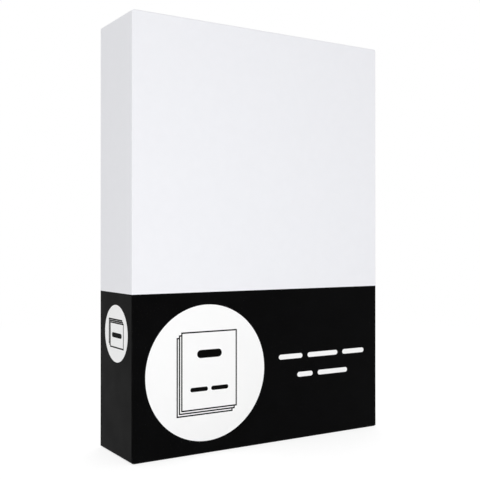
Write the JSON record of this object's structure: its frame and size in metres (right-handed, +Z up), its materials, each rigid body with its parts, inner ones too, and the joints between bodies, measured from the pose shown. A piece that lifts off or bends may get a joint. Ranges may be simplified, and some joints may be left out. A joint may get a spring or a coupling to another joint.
{
  "type": "ream of paper",
  "caption": "Sealed ream of office paper standing on its lower folded end, in a pale paper wrapper with a black printed band and white discs near its base.",
  "frame": {"origin": "on the standing plane, under the middle of the pack's bounding box", "axes": "+Z up along the sheets' long side, +X to the right across the printed front, +Y from the printed front to the back with the glued lap"},
  "size_m": [0.2102, 0.0554, 0.2994],
  "materials": {
    "wrapper_paper": "satin",
    "black_print": "satin",
    "white_print": "satin"
  },
  "bodies": {
    "root": {"wrapped_ream": "wrapper_paper", "black_band": "black_print", "front_disc": "white_print", "side_disc": "white_print", "caption_bars": "white_print", "front_sheet_figure": "black_print", "side_sheet_figure": "black_print"}
  },
  "joints": []
}
